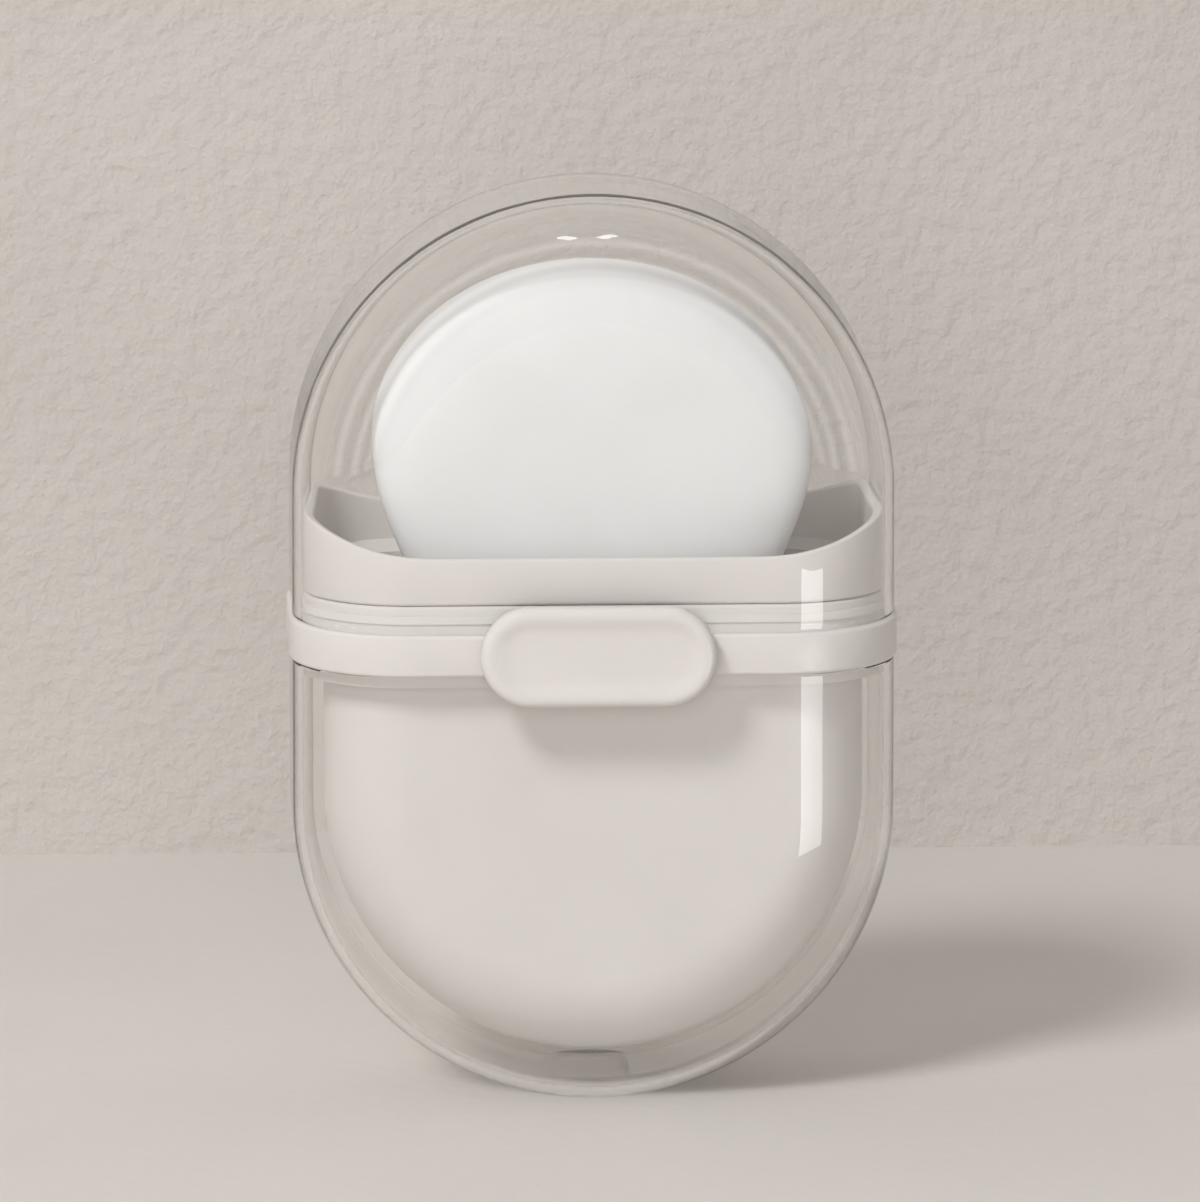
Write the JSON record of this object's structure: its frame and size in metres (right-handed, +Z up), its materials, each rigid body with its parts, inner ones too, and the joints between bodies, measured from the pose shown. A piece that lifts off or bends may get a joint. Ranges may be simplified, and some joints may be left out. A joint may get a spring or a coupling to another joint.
{
  "type": "travel soap box",
  "caption": "Upright capsule-shaped travel soap box: clear lift-off lid and cup, cream belt with a push-button latch, and a draining inner liner that holds a bar of soap.",
  "frame": {"origin": "centre of the flat foot under the cup", "axes": "+Z up along the capsule, -Y towards the front with the push button, X across"},
  "size_m": [0.0756, 0.048, 0.114],
  "materials": {
    "clear_plastic": "clear, polished",
    "cream_plastic": "satin moulded",
    "silicone": "soft, translucent white",
    "spring_steel": "drawn wire",
    "soap": "smooth, waxy"
  },
  "bodies": {
    "base": {"base_cup": "clear_plastic", "belt_ring": "cream_plastic", "lid_seal": "silicone", "button_spring_left": "spring_steel", "button_spring_right": "spring_steel"},
    "button": {"push_button": "cream_plastic", "latch_slider": "cream_plastic"},
    "liner": {"soap_liner": "cream_plastic", "soap_bar": "soap"},
    "lid": {"lid_shell": "clear_plastic"}
  },
  "joints": [
    {"name": "button_press", "type": "slide", "parent": "base", "child": "button", "axis": [0, 1, 0], "range_m": [0, 0.001], "stiffness_N_per_m": 800, "springref_m": -0.002, "deforming": ["button_spring_left", "button_spring_right"]},
    {"name": "liner_lift", "type": "slide", "parent": "base", "child": "liner", "axis": [0, 0, 1], "range_m": [0, 0.06]},
    {"name": "lid_lift", "type": "slide", "parent": "liner", "child": "lid", "axis": [0, 0, 1], "range_m": [0, 0.05]}
  ]
}
